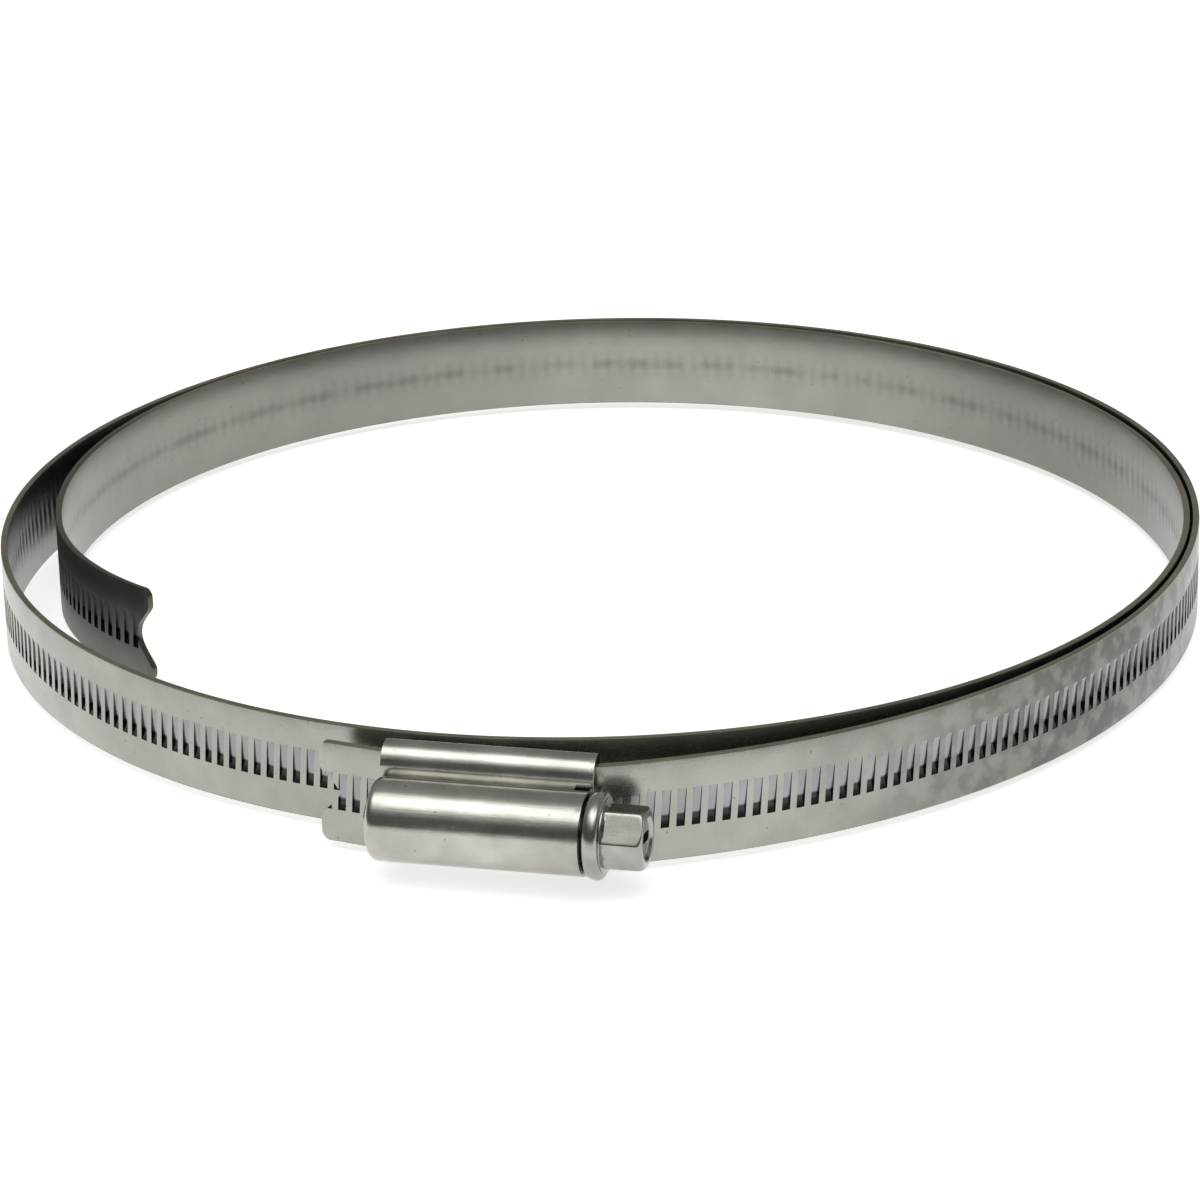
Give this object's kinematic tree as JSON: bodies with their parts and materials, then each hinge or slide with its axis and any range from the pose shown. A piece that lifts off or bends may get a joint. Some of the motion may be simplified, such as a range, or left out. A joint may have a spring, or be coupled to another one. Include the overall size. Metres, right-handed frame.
{
  "type": "hose clamp",
  "caption": "Worm-drive hose clamp, supplied open: spiral grooved steel strip, one-piece pressed housing and a worm screw with a hex head.",
  "frame": {"origin": "middle of the whole clamp's box in X and Y, at its lowest edge in Z", "axes": "+Z along the loop's axis, across the strip's width; +X along the screw, towards its hex head; +Y from the housing towards the back of the loop"},
  "size_m": [0.1622, 0.1824, 0.0148],
  "materials": {
    "band": "satin stainless strip, rolled, with bright sheared edges and pressed thread grooves",
    "housing": "bright pressed stainless sheet with fine draw lines",
    "worm_screw": "cold-headed stainless screw, smooth collar and hex"
  },
  "bodies": {
    "clamp": {"band": "band", "housing": "housing"},
    "screw": {"worm_screw": "worm_screw"}
  },
  "joints": [
    {"name": "screw_spin", "type": "hinge", "parent": "clamp", "child": "screw", "pos_m": [0.0076, -0.08582, 0.0074], "axis": [1, 0, 0], "continuous": true}
  ]
}
